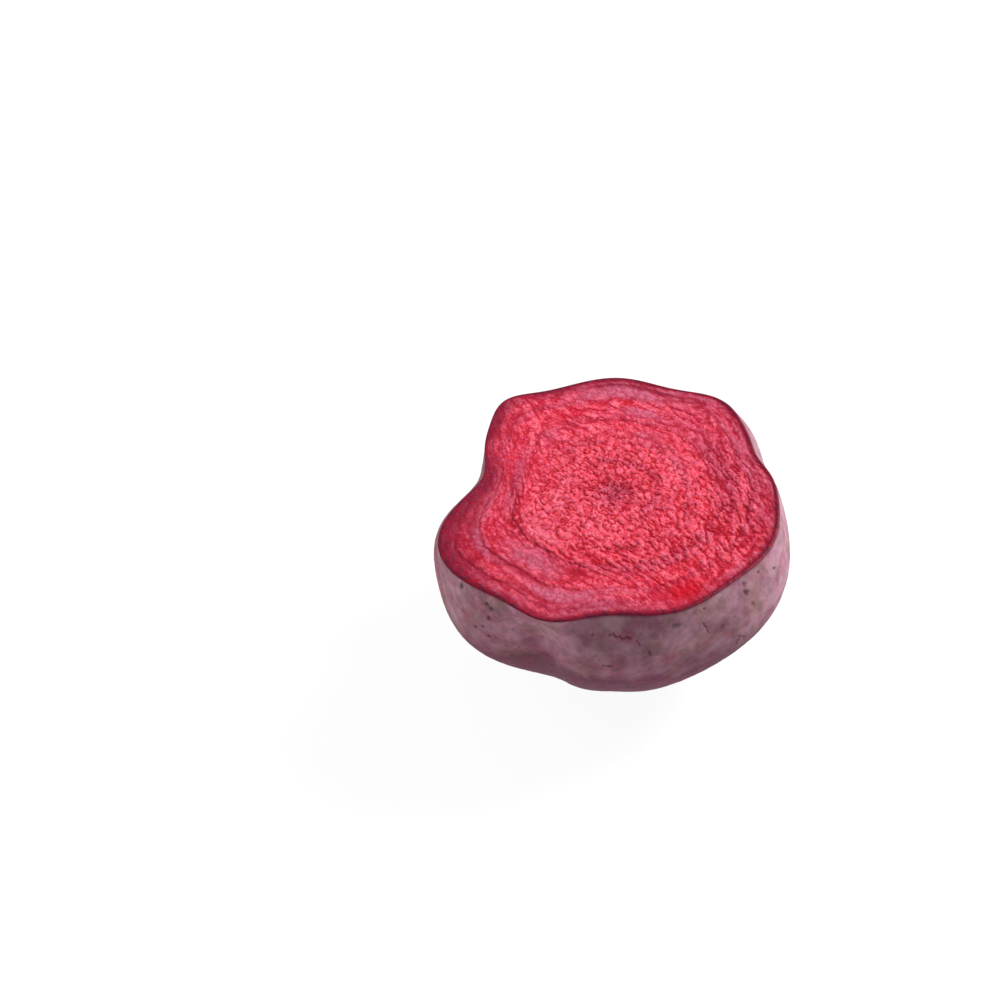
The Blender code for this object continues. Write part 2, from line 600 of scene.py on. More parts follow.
@dataclass(frozen=True)
class CutFace:
    """The knife's face, from the growth centre out to the rounded rim. Sizes are in millimetres.

    Each growth ring begins at its share of the way out, with a fine line, and is dull and mauve at
    first and bright coral further out. The wilted tissue has wrinkled into lumps. After the points,
    the numbers that the noise takes are the width of its swells, its seed and its octaves.
    """

    form: RootForm
    bearing: np.ndarray
    rows: int = 215
    split_row: int = 110
    split_share: float = 0.60
    edge_rows: int = 5
    edge_radius: float = 0.4
    ring_starts: tuple[float, ...] = (0.10, 0.25, 0.44, 0.635, 0.818, 0.935)
    ring_shift: float = 0.01
    ring_wander: float = 0.9
    line_width: float = 0.34
    line_depth: float = 0.25
    lump_depth: float = 0.66
    least_depth: float = 0.02
    heart_radius: float = 5.0
    heart_depth: float = 0.4
    knife_degrees: float = -58.0
    ring_pull: float = 0.7
    ring_streak: float = 10.0
    coarse: Cobbles = Cobbles(pitch=1.45, length=2.0, wander=1.2, seed=3)
    fine: Cobbles = Cobbles(pitch=0.8, length=1.1, wander=0.8, seed=29)
    # Smooth patches, where a mauve sheen is painted on and the wrinkles are calmer
    painted_sheen_zones: tuple[Zone, ...] = zones(
        (229, 0.725, 15, 0.065, 1.0), (248, 0.860, 15, 0.045, 1.1), (207, 0.835, 17, 0.020, 0.7),
        (188, 0.79, 9, 0.03, 0.6), (76, 0.735, 12, 0.045, 0.8), (86, 0.890, 18, 0.042, 1.6),
        (88, 0.962, 18, 0.012, 0.4), (60, 0.968, 14, 0.014, 0.9), (25, 0.962, 22, 0.014, 0.8),
        (228, 0.963, 16, 0.012, 0.6), (264, 0.966, 18, 0.014, 0.9), (320, 0.950, 12, 0.014, 0.5),
        (20, 0.90, 30, 0.030, 0.45), (68, 0.55, 10, 0.05, 0.5), (262, 0.92, 14, 0.030, 0.3),
        (128, 0.62, 7, 0.05, 0.4),
    )
    soaked_zones: tuple[Zone, ...] = zones(
        (296, 0.90, 9, 0.10, 1.0), (113, 0.755, 8, 0.035, 0.55), (310, 0.73, 20, 0.030, 0.35),
        (160, 0.31, 10, 0.035, 0.35), (303, 0.14, 15, 0.030, 0.5),
    )
    blood_zones: tuple[Zone, ...] = zones(
        (250, 0.68, 7, 0.028, 1.0), (232, 0.825, 9, 0.014, 1.1), (239, 0.900, 13, 0.013, 1.0),
        (211, 0.895, 7, 0.022, 0.8), (143, 0.86, 4, 0.080, 0.5), (40, 0.09, 45, 0.020, 0.9),
        (196, 0.86, 9, 0.030, 0.5), (348, 0.93, 12, 0.025, 0.55), (276, 0.475, 12, 0.020, 0.7),
    )
    mauve_zones: tuple[Zone, ...] = zones(
        (300, 0.62, 26, 0.030, 0.4), (276, 0.475, 14, 0.022, 0.4), (330, 0.24, 22, 0.025, 0.5),
        (22, 0.73, 34, 0.080, 0.9), (20, 0.90, 45, 0.060, 0.7), (172, 0.67, 26, 0.050, 0.9),
        (172, 0.86, 14, 0.080, 0.8), (130, 0.46, 8, 0.050, 0.4), (95, 0.30, 18, 0.020, 0.5),
        (180, 0.20, 16, 0.020, 0.4), (350, 0.84, 22, 0.030, 0.5), (205, 0.845, 16, 0.030, 0.8),
        (86, 0.960, 20, 0.016, 1.3), (262, 0.93, 20, 0.040, 1.0),
    )
    coral_zones: tuple[Zone, ...] = zones(
        (310, 0.725, 30, 0.040, 0.9), (230, 0.55, 45, 0.060, 1.1), (125, 0.72, 22, 0.050, 0.5),
        (316, 0.88, 14, 0.050, 0.6), (345, 0.62, 20, 0.060, 0.8),
    )
    # Patches where a pink highlight is painted
    painted_highlight_zones: tuple[Zone, ...] = zones(
        (195, 0.365, 16, 0.040, 1.0), (216, 0.56, 16, 0.045, 1.0), (240, 0.30, 20, 0.050, 0.4),
        (160, 0.32, 14, 0.050, 0.9), (30, 0.45, 16, 0.050, 0.5),
    )
    plum_zones: tuple[Zone, ...] = zones(
        (180, 1.0, 26, 0.15, 1.4), (207, 1.0, 18, 0.08, 1.2), (140, 1.0, 18, 0.085, 1.2),
        (235, 1.0, 30, 0.040, 0.8), (270, 1.0, 30, 0.040, 0.6), (335, 1.0, 50, 0.035, 1.1),
        (112, 1.0, 20, 0.050, 1.0), (80, 0.940, 24, 0.017, 1.3), (58, 0.935, 10, 0.020, 0.5),
        (112, 0.935, 14, 0.018, 0.5), (86, 0.990, 24, 0.017, 1.4), (30, 1.0, 50, 0.040, 0.9),
    )

    def sheet(self) -> Sheet:
        """Lays the face: level, less the depth of its creases and ring lines, then round at its edge.

        Returns:
            The face and its edge, a quarter circle that ends where the skin begins.
        """
        inner = np.linspace(0, self.split_share, self.split_row + 1)
        outer = np.linspace(self.split_share, 1, self.rows - self.split_row)[1:]
        share = np.concatenate([inner, outer])[:, None]
        share, bearing = np.broadcast_arrays(share, self.bearing)
        relief, fields = self.surface(bearing, share)
        form = self.form
        radius = form.face_radius(bearing, share * (1 - self.edge_radius / form.rim_radius))
        flat_part = form.around_axis(bearing, radius, form.cut_height - relief)

        turn = (np.arange(1, self.edge_rows + 1) / self.edge_rows * math.pi / 2)[:, None]
        below = self.edge_radius / (form.cut_height - form.belly_height)
        side = form.shoulder(self.bearing, np.full((1, 1), below))
        outermost = np.hypot(side[..., 0], side[..., 1])
        edge_radius = radius[-1:] + (outermost - radius[-1:]) * np.sin(turn)
        drop = self.edge_radius * (1 - np.cos(turn)) + relief[-1:] * np.cos(turn)
        edge_part = form.around_axis(self.bearing, edge_radius, form.cut_height - drop)
        grown = {
            name: np.concatenate([values, np.repeat(values[-1:], self.edge_rows, axis=0)])
            for name, values in fields.items()
        }
        return Sheet(np.concatenate([flat_part, edge_part]), grown)

    def places(self, bearing: np.ndarray, share: np.ndarray) -> FacePlaces:
        """Works out where these places lie, and which sides of the face they belong to.

        Args:
            bearing: Bearings of the places.
            share: How far out they lie, 1 being the rim.

        Returns:
            The places.
        """
        out = self.form.rim_radius * share
        return FacePlaces(
            bearing=bearing,
            share=share,
            out=out,
            from_rim=self.form.rim_radius - out,
            flat=on_disc(bearing, out),
            lower_left=facing(bearing, 215),
            right=facing(bearing, 345),
            top=facing(bearing, 95, 0.35),
        )

    def surface(
        self, bearing: np.ndarray, share: np.ndarray
    ) -> tuple[np.ndarray, dict[str, np.ndarray]]:
        """Works out how deep each place lies, and what the flesh is like there.

        Args:
            bearing: Bearings of the places.
            share: How far out they lie, 1 being the rim.

        Returns:
            Depths below the knife's plane, and the fields of the flesh material.
        """
        at = self.places(bearing, share)
        ring_share, phase, line = self.ring_lines(at)
        # Painted sheen on smooth patches, which also calm the relief
        satin = self.patches(self.painted_sheen_zones, at, clouds(at.flat, 2.2, 17))
        mauve, coral = self.tones(at, phase)
        wrinkling = self.wrinkling(at)
        height = self.lump_height(at, wrinkling)
        calm = (1 - 0.6 * satin) * (1 - 0.5 * at.lower_left * ramp(share, 0.62, 0.1))
        calm = calm * (1 - 0.35 * at.top * ramp(share, 0.4, 0.2))
        depth = self.lump_depth * (1 - 0.3 * wrinkling.fineness + 0.25 * wrinkling.rugged)
        depth = depth * (1 - 0.4 * ramp(share, 0.86, 0.08))
        relief = depth * (0.95 - height) * calm + self.line_depth * line
        relief = relief + self.heart_depth * np.exp(-((at.out / (0.7 * self.heart_radius)) ** 2))
        relief = np.maximum(relief, self.least_depth) * smooth_step(0.1 + at.from_rim / 0.7)

        # Painted shade in the creases between the lumps, in a deeper red than the lumps
        crease_shade = smooth_step((0.54 - height) / 0.32) * calm * (1 - 0.15 * coral)
        heart = np.exp(-((at.out / self.heart_radius) ** 2))
        heart = heart * smooth_step(0.95 + 1.2 * clouds(at.flat, 3.0, 37, 2))
        mauve = np.clip(mauve + heart, 0, 1)
        # Painted pink highlight on the lumps' tops and in some set patches
        painted_highlight = ramp(height, 0.52, 0.3) * smooth_step(0.55 + 1.0 * clouds(at.flat, 1.0, 67, 3))
        painted_highlight = painted_highlight * (1 - 0.5 * wrinkling.banded)
        painted_highlight = np.maximum(painted_highlight, zone_cover(self.painted_highlight_zones, bearing, share))
        fields = {
            # rise: painted shade in the lumps' hollows, going over to a painted highlight on their tops
            "rise": ramp(height, 0.32, 0.4),
            "crease_shade": crease_shade,
            # Painted shade in the creases, darker where the flesh is mauve
            "mauve_crease_shade": crease_shade * mauve,
            "mauve": mauve,
            "coral": np.clip(coral, 0, 1),
            "warm": smooth_step(1.7 * clouds(at.flat, 1.1, 201, 3)),
            "cool": smooth_step(1.7 * clouds(at.flat, 1.3, 205, 3)),
            "painted_highlight": painted_highlight * (1 - 0.5 * crease_shade),
            "satin": satin * (1 - 0.5 * line),
            "line": line,
            **self.juices(at, ring_share, crease_shade, satin),
        }
        return relief, fields

    def ring_lines(self, at: FacePlaces) -> tuple[np.ndarray, np.ndarray, np.ndarray]:
        """Lays out the growth rings, each with a fine line where it begins.

        The line is a bell curve across its middle. It strays, breaks off in places, and is
        clearest towards the lower left.

        Args:
            at: The places.

        Returns:
            How far out each place lies among the rings, how far through its own, and the lines.
        """
        starts = np.array((0.0, *self.ring_starts, 1.01))
        held = ramp(at.share, 0.0, 0.3) * (1 - ramp(at.share, 0.85, 0.15))
        ring_share = at.share - self.ring_shift * np.sin(at.bearing) * held
        stray = self.ring_wander * clouds(at.flat, 7.0, 5, 3) + 0.45 * clouds(at.flat, 1.6, 7, 2)
        ring_share = ring_share + stray / self.form.rim_radius
        ring = np.clip(np.searchsorted(starts, ring_share, side="right") - 1, 0, len(starts) - 2)
        width = starts[ring + 1] - starts[ring]
        phase = (ring_share - starts[ring]) / width
        from_line = np.minimum(phase, np.where(ring < len(starts) - 2, 1 - phase, 1.0))
        from_line = np.where(ring == 0, 9.0, from_line * width * self.form.rim_radius)
        clearest = bell(at.bearing, 218, 42)
        strength = np.clip(0.25 + 0.75 * clearest + 0.5 * clouds(at.flat, 8.0, 41, 2), 0, 1)
        strength = strength * (1 - 0.8 * ramp(at.share, 0.88, 0.04) * (1 - clearest))
        unbroken = smooth_step(0.6 + 1.4 * clouds(at.flat, 2.5, 9, 2))
        strength = strength * np.maximum(unbroken, 0.95 * clearest)
        line = np.exp(-((from_line / self.line_width) ** 2)) * strength * ramp(at.share, 0.4, 0.12)
        return ring_share, phase, line

    def tones(self, at: FacePlaces, phase: np.ndarray) -> tuple[np.ndarray, np.ndarray]:
        """Works out how mauve and how coral the flesh is.

        The mottling is drawn out along the rings: it is noise through points that go round a small
        circle with the bearing and up with the way out.

        Args:
            at: The places.
            phase: How far through its ring each place lies.

        Returns:
            How mauve and how coral each place is, from about 0 to 1.
        """
        ringed = on_disc(at.bearing, np.full(at.out.shape, self.ring_streak))
        ringed = ringed + at.out[..., None] * np.array([0, 0, 1.0])
        mottle = clouds(ringed, 2.4, 33, 3)
        dull = smooth_step((0.62 - phase + 0.30 * mottle + 0.3 * clouds(ringed, 5.0, 34, 2)) / 0.6)
        bright_heart = 0.8 * at.lower_left * (1 - ramp(at.share, 0.45, 0.15))
        dull = dull * ramp(at.share, 0.12, 0.15) * (1 - bright_heart)
        mauve = 0.50 * dull * smooth_step(0.90 + 0.5 * clouds(ringed, 4.0, 35, 2))
        mauve = np.maximum(mauve, self.patches(self.mauve_zones, at, mottle))
        coral = (1 - ramp(at.share, 0.5, 0.18)) * ramp(at.share, 0.08, 0.1)
        coral = np.maximum(coral, self.patches(self.coral_zones, at, clouds(at.flat, 3.0, 36)))
        coral = coral * (0.9 + 0.15 * clouds(at.flat, 3.0, 38)) * (1 - 0.7 * mauve)
        return mauve, coral

    def wrinkling(self, at: FacePlaces) -> Wrinkling:
        """Works out how the tissue has wrinkled.

        It is fine at the top and out at the lower left, and rugged at the lower right.

        Args:
            at: The places.

        Returns:
            The wrinkling at each of them.
        """
        share = at.share
        rugged = facing(at.bearing, 325, 0.45) * ramp(share, 0.42, 0.2)
        fineness = 0.20 + 0.5 * clouds(at.flat, 8.0, 23, 2) + 0.9 * at.top * ramp(share, 0.35, 0.2)
        fineness = smooth_step(fineness + 2.0 * at.lower_left * (share - 0.62) + 0.3 * (share - 0.5))
        banded = smooth_step(1.6 * np.cos(at.bearing - math.radians(218)) - 0.4)
        banded = banded * ramp(share, 0.5, 0.1)
        comb = 0.3 + 0.6 * at.right * ramp(share, 0.45, 0.15) + 0.8 * banded
        return Wrinkling(
            fineness=fineness * (1 - rugged),
            rugged=rugged,
            banded=banded,
            comb=comb + 0.5 * at.top * ramp(share, 0.5, 0.15),
            pull=self.ring_pull * ramp(share, 0.15, 0.25) + 2.4 * at.top * ramp(share, 0.55, 0.15),
        )

    def juices(
        self, at: FacePlaces, ring_share: np.ndarray, crease_shade: np.ndarray, satin: np.ndarray
    ) -> dict[str, np.ndarray]:
        """Works out where juice has soaked, bled or dried, and where the rim is dark under the skin.

        Args:
            at: The places.
            ring_share: How far out each place lies among the rings.
            crease_shade: How deep in creases it lies, where shade is painted.
            satin: How far a smooth patch with painted sheen covers it.

        Returns:
            Those fields of the flesh material, from 0 to 1.
        """
        soaked = self.patches(self.soaked_zones, at, clouds(at.flat, 2.5, 43))
        drops = 0.7 * ramp(clouds(at.flat, 1.5, 47), 0.38, 0.2)
        strayed = replace(at, share=ring_share * 0.3 + at.share * 0.7)
        plum = self.patches(self.plum_zones, strayed, 0.4 * clouds(at.flat, 1.6, 53))
        plum = plum * (1 - 0.6 * satin)
        rim_shade = smooth_step((1.5 + 0.3 * clouds(at.flat, 1.5, 59, 2) - at.from_rim) / 1.3)
        rough_line = 0.85 + 0.40 * clouds(at.flat, 1.1, 71, 2)
        return {
            "blood": self.patches(self.blood_zones, at, clouds(at.flat, 1.8, 45)),
            "soaked": np.maximum(soaked, drops) * (1 - 0.35 * crease_shade),
            "plum": np.maximum(plum, 0.85 * rim_shade),
            "skin_line": smooth_step((rough_line - at.from_rim) / 0.9),
        }

    def patches(self, spots: tuple[Zone, ...], at: FacePlaces, ragged: np.ndarray) -> np.ndarray:
        """How far these zones cover each place, with edges that the ragged noise frays."""
        cover = zone_cover(spots, at.bearing, at.share)
        return np.clip(1.1 * cover + 0.4 * ragged * ramp(cover, 0.0, 0.4), 0, 1)

    def lump_height(self, at: FacePlaces, wrinkling: Wrinkling) -> np.ndarray:
        """Height of the wrinkled lumps: cobbles, coarse or fine, mixed with rounded folds.

        A fold is the size of a swell whatever its sign, so it is sharp where the swell crosses 0.
        The folds run along the knife's way, turned towards the rings where the two nearly agree:
        that way plus the ring's direction times how far the two agree.

        Args:
            at: The places.
            wrinkling: How the tissue has wrinkled there.

        Returns:
            Heights, from about 0 in the creases to 1 on the lumps.
        """
        flat, fineness = at.flat, wrinkling.fineness
        knife = math.radians(self.knife_degrees)
        agree = math.sin(knife) * np.cos(at.bearing) - math.cos(knife) * np.sin(at.bearing)
        pull = wrinkling.pull * agree
        across = math.cos(knife) - pull * np.sin(at.bearing)
        away = math.sin(knife) + pull * np.cos(at.bearing)
        way = np.stack([across, away, np.zeros(across.shape)], axis=-1)
        way /= np.linalg.norm(way, axis=-1, keepdims=True)
        gap, tone, lift = self.coarse.lay(flat)
        fine_gap, fine_tone, fine_lift = self.fine.lay(flat)
        body = smooth_step(gap / 0.8) * (1 - fineness) + smooth_step(fine_gap / 0.8) * fineness
        tone = tone * (1 - fineness) + fine_tone * fineness
        lift = lift * (1 - fineness) + fine_lift * fineness
        folds, fine_folds = (
            np.minimum(1.9 * np.abs(combed(flat, way, size, seed, wrinkling.comb)), 1)
            for size, seed in ((2.0, 51), (1.0, 57))
        )
        open_share = np.clip(0.62 + 0.3 * clouds(flat, 2.5, 77, 2), 0.05, 1)
        height = 0.34 * (1 - (1 - body) * open_share) + 0.39 * folds + 0.25 * fine_folds
        return height + 0.24 * lift + 0.06 * tone + 0.16 * clouds(flat, 0.6, 61, 2)


@dataclass(frozen=True)
class Mark:
    """A mark on the skin: where its middle is, its half width and half length, and how it leans.

    Lengths are in millimetres. A lean of 0 is upright, and the top leans to the right above 0.
    """

    bearing_degrees: float
    height: float
    width: float
    length: float
    lean_degrees: float = 0.0
    strength: float = 1.0


def marks(*rows: tuple[float, ...]) -> tuple[Mark, ...]:
    """Makes a mark from each row of numbers, which are its fields in their order."""
    return tuple(Mark(*row) for row in rows)


@dataclass(frozen=True)
class Crack:
    """A thin healed crack in the skin, through places given as a bearing in degrees and a height."""

    places: tuple[tuple[float, float], ...]
    width: float = 0.45

    def cover(self, bearing: np.ndarray, points: np.ndarray, ragged: np.ndarray) -> np.ndarray:
        """How far the crack covers each point: full on its stretches, and fading with the way to them.

        The nearest place on a stretch is where a line square to it would meet it, held to its ends.

        Args:
            bearing: Bearings of the points.
            points: Points on the smooth body.
            ragged: Noise that frays the edge, in half widths.

        Returns:
            The cover, from 0 to 1.
        """
        radius = np.hypot(points[..., 0], points[..., 1])
        cover = np.zeros(radius.shape)
        for start, end in zip(self.places[:-1], self.places[1:], strict=True):
            aside = np.radians(degrees_from(bearing, start[0])) * radius
            up = points[..., 2] - start[1]
            run = math.radians(end[0] - start[0]) * radius
            rise = end[1] - start[1]
            along = np.clip((aside * run + up * rise) / (run**2 + rise**2), 0, 1)
            away = np.hypot(aside - along * run, up - along * rise)
            cover = np.maximum(cover, smooth_step(1.3 + ragged - away / self.width))
        return cover


@dataclass(frozen=True)
class SkinShell:
    """The skin, from the rim's rounded edge down to the root scar. Sizes are in millimetres."""

    form: RootForm
    bearing: np.ndarray
    shoulder_rows: int = 60
    underside_rows: int = 160
    split_row: int = 110
    edge_radius: float = 0.4
    pore_depth: float = 0.25
    wrinkle_depth: float = 0.10
    wrinkle_squash: float = 1.6
    end_share: float = 0.02
    pits: tuple[Mark, ...] = marks(
        (218.0, 47.3, 0.5, 1.5, 10), (227.5, 46.3, 0.7, 0.5), (229.0, 45.3, 0.6, 0.5),
        (228.5, 42.2, 0.35, 1.1, -5), (224.5, 37.2, 0.5, 0.35), (229.0, 35.9, 0.5, 0.4),
        (227.0, 38.6, 0.3, 0.4), (288.0, 45.9, 1.3, 0.7, 0, 0.6), (279.4, 39.8, 0.3, 0.8, -15),
        (315.6, 45.9, 0.7, 0.6), (316.0, 47.7, 0.6, 0.5, 0, 0.8), (316.7, 42.2, 0.6, 0.9, 0, 0.6),
        (323.0, 48.0, 0.4, 0.4), (330.0, 45.7, 0.35, 0.35), (311.0, 34.2, 0.9, 0.35, 20, 0.8),
        (310.4, 32.4, 0.3, 1.2, 10, 0.8), (312.9, 32.6, 0.3, 1.0, -15, 0.8),
        (268.8, 34.8, 0.9, 0.8, 0, 0.5), (12.0, 41.0, 0.6, 0.9, 20), (48.0, 30.0, 0.9, 0.5, 0),
        (75.0, 44.0, 0.5, 1.6, 12), (101.0, 33.0, 0.8, 0.8), (128.0, 40.0, 0.4, 1.3, -20),
        (156.0, 28.0, 1.0, 0.6, 10), (185.0, 36.0, 0.5, 0.5),
    )
    cracks: tuple[Crack, ...] = (
        Crack(
            (
                (266.8, 45.2), (268.2, 45.5), (269.0, 44.5), (270.1, 44.9),
                (270.9, 44.2), (272.1, 44.8), (273.4, 44.5),
            ),
            0.32,
        ),
        Crack(((275.5, 43.7), (276.2, 42.6)), 0.24),
        Crack(((298.2, 43.1), (299.2, 41.4), (299.9, 39.6)), 0.28),
        Crack(((66.0, 40.0), (70.0, 38.6), (73.0, 39.5), (78.0, 37.4))),
        Crack(((141.0, 33.0), (146.0, 34.6), (151.0, 34.0)), 0.3),
        Crack(((8.0, 29.0), (10.0, 26.0), (9.0, 23.5)), 0.3),
    )
    rust: tuple[Mark, ...] = marks(
        (271.0, 44.6, 4.0, 1.4, 0, 0.6), (300.0, 37.0, 1.6, 1.5, 0, 0.7),
        (285.6, 36.4, 2.6, 2.0, 0, 0.7), (60.0, 38.0, 2.5, 1.6, 0, 0.7),
        (140.0, 24.0, 3.0, 2.0, 0, 0.6),
    )
    earth: tuple[Mark, ...] = marks(
        (221.0, 38.5, 1.0, 2.2, 5, 0.9), (238.0, 25.0, 8.0, 4.0, 60, 0.9),
        (280.5, 41.2, 1.8, 1.0, -20, 0.9), (210.0, 30.0, 5.0, 4.0, 0, 0.5),
        (95.0, 22.0, 7.0, 6.0, 0, 0.8), (25.0, 26.0, 5.0, 7.0, 15, 0.6),
        (165.0, 40.0, 3.0, 4.0, 0, 0.6),
    )

    def mark_cover(
        self, spots: tuple[Mark, ...], bearing: np.ndarray, places: np.ndarray
    ) -> np.ndarray:
        """The strongest of these marks at each place, each an ellipse with a soft, ragged edge.

        Args:
            spots: The marks.
            bearing: Bearings of the places.
            places: Points on the smooth body.

        Returns:
            How far the marks cover each place, up to their strengths.
        """
        radius = np.hypot(places[..., 0], places[..., 1])
        ragged = 0.8 * clouds(places, 0.9, 211, 3)
        cover = np.zeros(radius.shape)
        for mark in spots:
            aside = np.radians(degrees_from(bearing, mark.bearing_degrees)) * radius
            up = places[..., 2] - mark.height
            lean = math.radians(mark.lean_degrees)
            across = (aside * math.cos(lean) - up * math.sin(lean)) / mark.width
            along = (aside * math.sin(lean) + up * math.cos(lean)) / mark.length
            inside = smooth_step((1.6 + ragged - np.hypot(across, along)) / 1.3)
            cover = np.maximum(cover, mark.strength * inside)
        return cover

    def sheet(self) -> Sheet:
        """Lays the skin: the smooth body, sunk along its normals at pores, wrinkles and cracks.

        Returns:
            The skin, whose first row is the face's last and whose last is the scar's first.
        """
        form = self.form
        first = self.edge_radius / (form.cut_height - form.belly_height)
        upper = form.shoulder(self.bearing, np.linspace(first, 1, self.shoulder_rows + 1)[:, None])
        lower = form.underside(self.bearing, np.linspace(0, 1, self.underside_rows + 1)[1:, None])
        places = np.concatenate([upper, lower])
        bearing = np.broadcast_to(self.bearing, places.shape[:-1])
        rows_down = np.linspace(0, 1, len(places))[:, None]
        ends = ramp(rows_down, 0.0, self.end_share) * ramp(1 - rows_down, 0.0, self.end_share)

        wrinkles = clouds(places * np.array([1.0, 1.0, self.wrinkle_squash]), 2.6, 83, 4)
        specks = ramp(clouds(places, 1.7, 91, 2), 0.50, 0.12)
        specks = specks * smooth_step(0.15 + 1.6 * clouds(places, 11.0, 95))
        marked = self.mark_cover(self.pits, bearing, places)
        pit = np.maximum(0.75 * specks, marked)
        ragged = 0.9 * clouds(places, 0.9, 215, 3)
        crack = np.max([crack.cover(bearing, places, ragged) for crack in self.cracks], axis=0)
        depth = self.wrinkle_depth + self.wrinkle_depth * wrinkles
        depth = depth + self.pore_depth * np.maximum(pit, 0.7 * crack)
        points = places - outward(places) * (np.maximum(depth, 0.0) * ends)[..., None]
        points[-1] = places[-1]
        points[..., 2] = np.maximum(points[..., 2], 0.0)

        fields = {"pit": pit, "crack": crack, **self.colouring(bearing, places)}
        return Sheet(points, fields)

    def colouring(self, bearing: np.ndarray, places: np.ndarray) -> dict[str, np.ndarray]:
        """Works out where the skin is earthy, rusty or olive, and where shade and light are painted on
        it.

        Shade is painted low down and at the front, and light to the right and at the left end of the
        front. It is also darker right under the rim, and both are mottled at random.

        Args:
            bearing: Bearings of the places.
            places: Points on the smooth body.

        Returns:
            The fields of the skin material, from 0 to 1.
        """
        height = places[..., 2]
        low = smooth_step((38.0 - height) / 15.0)
        under_rim = smooth_step((height - self.form.cut_height + 1.2) / 1.0)
        front = bell(bearing, 268, 36)
        front_left = bell(bearing, 216, 14)
        back = bell(bearing, 95, 70)
        right = facing(bearing, 330)
        earth = 0.7 * smooth_step(0.15 + 0.25 * back + 1.6 * clouds(places, 9.0, 99, 4))
        rust = 0.6 * smooth_step(clouds(places, 5.0, 103, 3) * 2.0 - 0.2)
        # Painted shade low down and at the front, darker right under the rim, with random mottling
        painted_shade_and_mottle = 0.40 * front + 1.0 * low + 0.6 * clouds(places, 6.0, 107, 4) + 0.8 * under_rim
        # Painted light to the right and at the left end of the front, with random mottling
        painted_light_and_mottle = 0.8 * right * (1 - 0.5 * low) + 0.6 * front_left + 0.7 * clouds(places, 4.5, 109, 4)
        return {
            "earth": np.clip(self.mark_cover(self.earth, bearing, places) + earth, 0, 1),
            "rust": np.clip(self.mark_cover(self.rust, bearing, places) + rust, 0, 1),
            "painted_shade_and_mottle": np.clip(painted_shade_and_mottle, 0, 1),
            "painted_light_and_mottle": np.clip(painted_light_and_mottle, 0, 1),
            "olive": smooth_step(0.2 + 0.5 * front_left + 1.9 * clouds(places, 2.6, 113, 4)),
        }


@dataclass(frozen=True)
class RootScar:
    """The flat end of the trimmed root, which the half stands on. Sizes are in millimetres."""

    form: RootForm
    bearing: np.ndarray
    rows: int = 24
    hollow: float = 0.35
    ring_width: float = 1.8

    def sheet(self) -> Sheet:
        """Lays the scar from its edge in: level at the edge, and a little hollow and rough within.

        Returns:
            The scar, whose last row is one point.
        """
        form = self.form
        share = np.linspace(1, 0, self.rows)[:, None]
        share, bearing = np.broadcast_arrays(share, self.bearing)
        level = form.around_axis(bearing, form.scar_radius * share, np.zeros(share.shape))
        rings = 0.5 + 0.5 * np.cos(share * form.scar_radius * FULL_TURN / self.ring_width)
        rough = clouds(level, 1.5, 131, 3)
        height = smooth_step((1 - share) / 0.25) * self.hollow * (0.6 + 0.5 * rough + 0.3 * rings)
        level[..., 2] = np.maximum(height, 0.0)
        level[-1] = level[-1, 0]
        return Sheet(level, {"ring": rings})


def add_node(
    tree: bpy.types.NodeTree,
    kind: str,
    settings: Mapping[str, object] | None = None,
    sockets: Mapping[str | int, object] | None = None,
) -> bpy.types.Node:
    """Adds a node and sets or links its inputs.

    Args:
        tree: The material's or world's node tree.
        kind: The node's type name.
        settings: The node's own properties, by name.
        sockets: Its inputs by name or place, each a value to set or an output to link from.

    Returns:
        The new node.
    """
    node = tree.nodes.new(kind)
    for name, value in (settings or {}).items():
        setattr(node, name, value)
    for key, value in (sockets or {}).items():
        if isinstance(value, bpy.types.NodeSocket):
            tree.links.new(value, node.inputs[key])
        else:
            node.inputs[key].default_value = value
    return node


@dataclass(frozen=True)
class Layer:
    """A colour that covers those before it where a field of the piece is high."""

    field_name: str
    colour: str
    strength: float = 1.0


def new_material(name: str) -> tuple[bpy.types.Material, bpy.types.NodeTree, bpy.types.Node]:
    """A new material with its node tree and its shader.

    Args:
        name: The material's name.

    Returns:
        The material, its node tree and its shader.
    """
    material = bpy.data.materials.new(name)
    material.use_nodes = True
    return material, material.node_tree, material.node_tree.nodes["Principled BSDF"]


def layered_colour(
    tree: bpy.types.NodeTree, base: bpy.types.NodeSocket, layers: tuple[Layer, ...]
) -> bpy.types.NodeSocket:
    """Mixes each layer over the ones before by its field times its strength.

    Args:
        tree: The material's node tree.
        base: The colour under them all.
        layers: The layers, from the lowest up.

    Returns:
        The mixed colour.
    """
    colour = base
    for layer in layers:
        named = {"attribute_name": layer.field_name}
        cover = add_node(tree, "ShaderNodeAttribute", named).outputs["Fac"]
        if layer.strength < 1.0:
            scale = {"operation": "MULTIPLY"}
            cover = add_node(tree, "ShaderNodeMath", scale, {0: cover, 1: layer.strength}).outputs[0]
        mixed = {FACTOR: cover, MIX_A: colour, MIX_B: linear(layer.colour)}
        colour = add_node(tree, "ShaderNodeMix", {"data_type": "RGBA"}, mixed).outputs[MIXED]
    return colour


def noise_in_mm(
    tree: bpy.types.NodeTree, size: float, detail: float, roughness: float
) -> bpy.types.NodeSocket:
    """Cloudy noise through the piece, which stays put on it.

    Args:
        tree: The material's node tree.
        size: Width of the largest swells, in millimetres.
        detail: How many finer sizes are added.
        roughness: How strong each is beside the one before.

    Returns:
        The noise, from 0 to 1.
    """
    place = add_node(tree, "ShaderNodeTexCoord").outputs["Object"]
    inputs = {"Vector": place, "Scale": 1 / (size * MM), "Detail": detail, "Roughness": roughness}
    return add_node(tree, "ShaderNodeTexNoise", {}, inputs).outputs["Fac"]


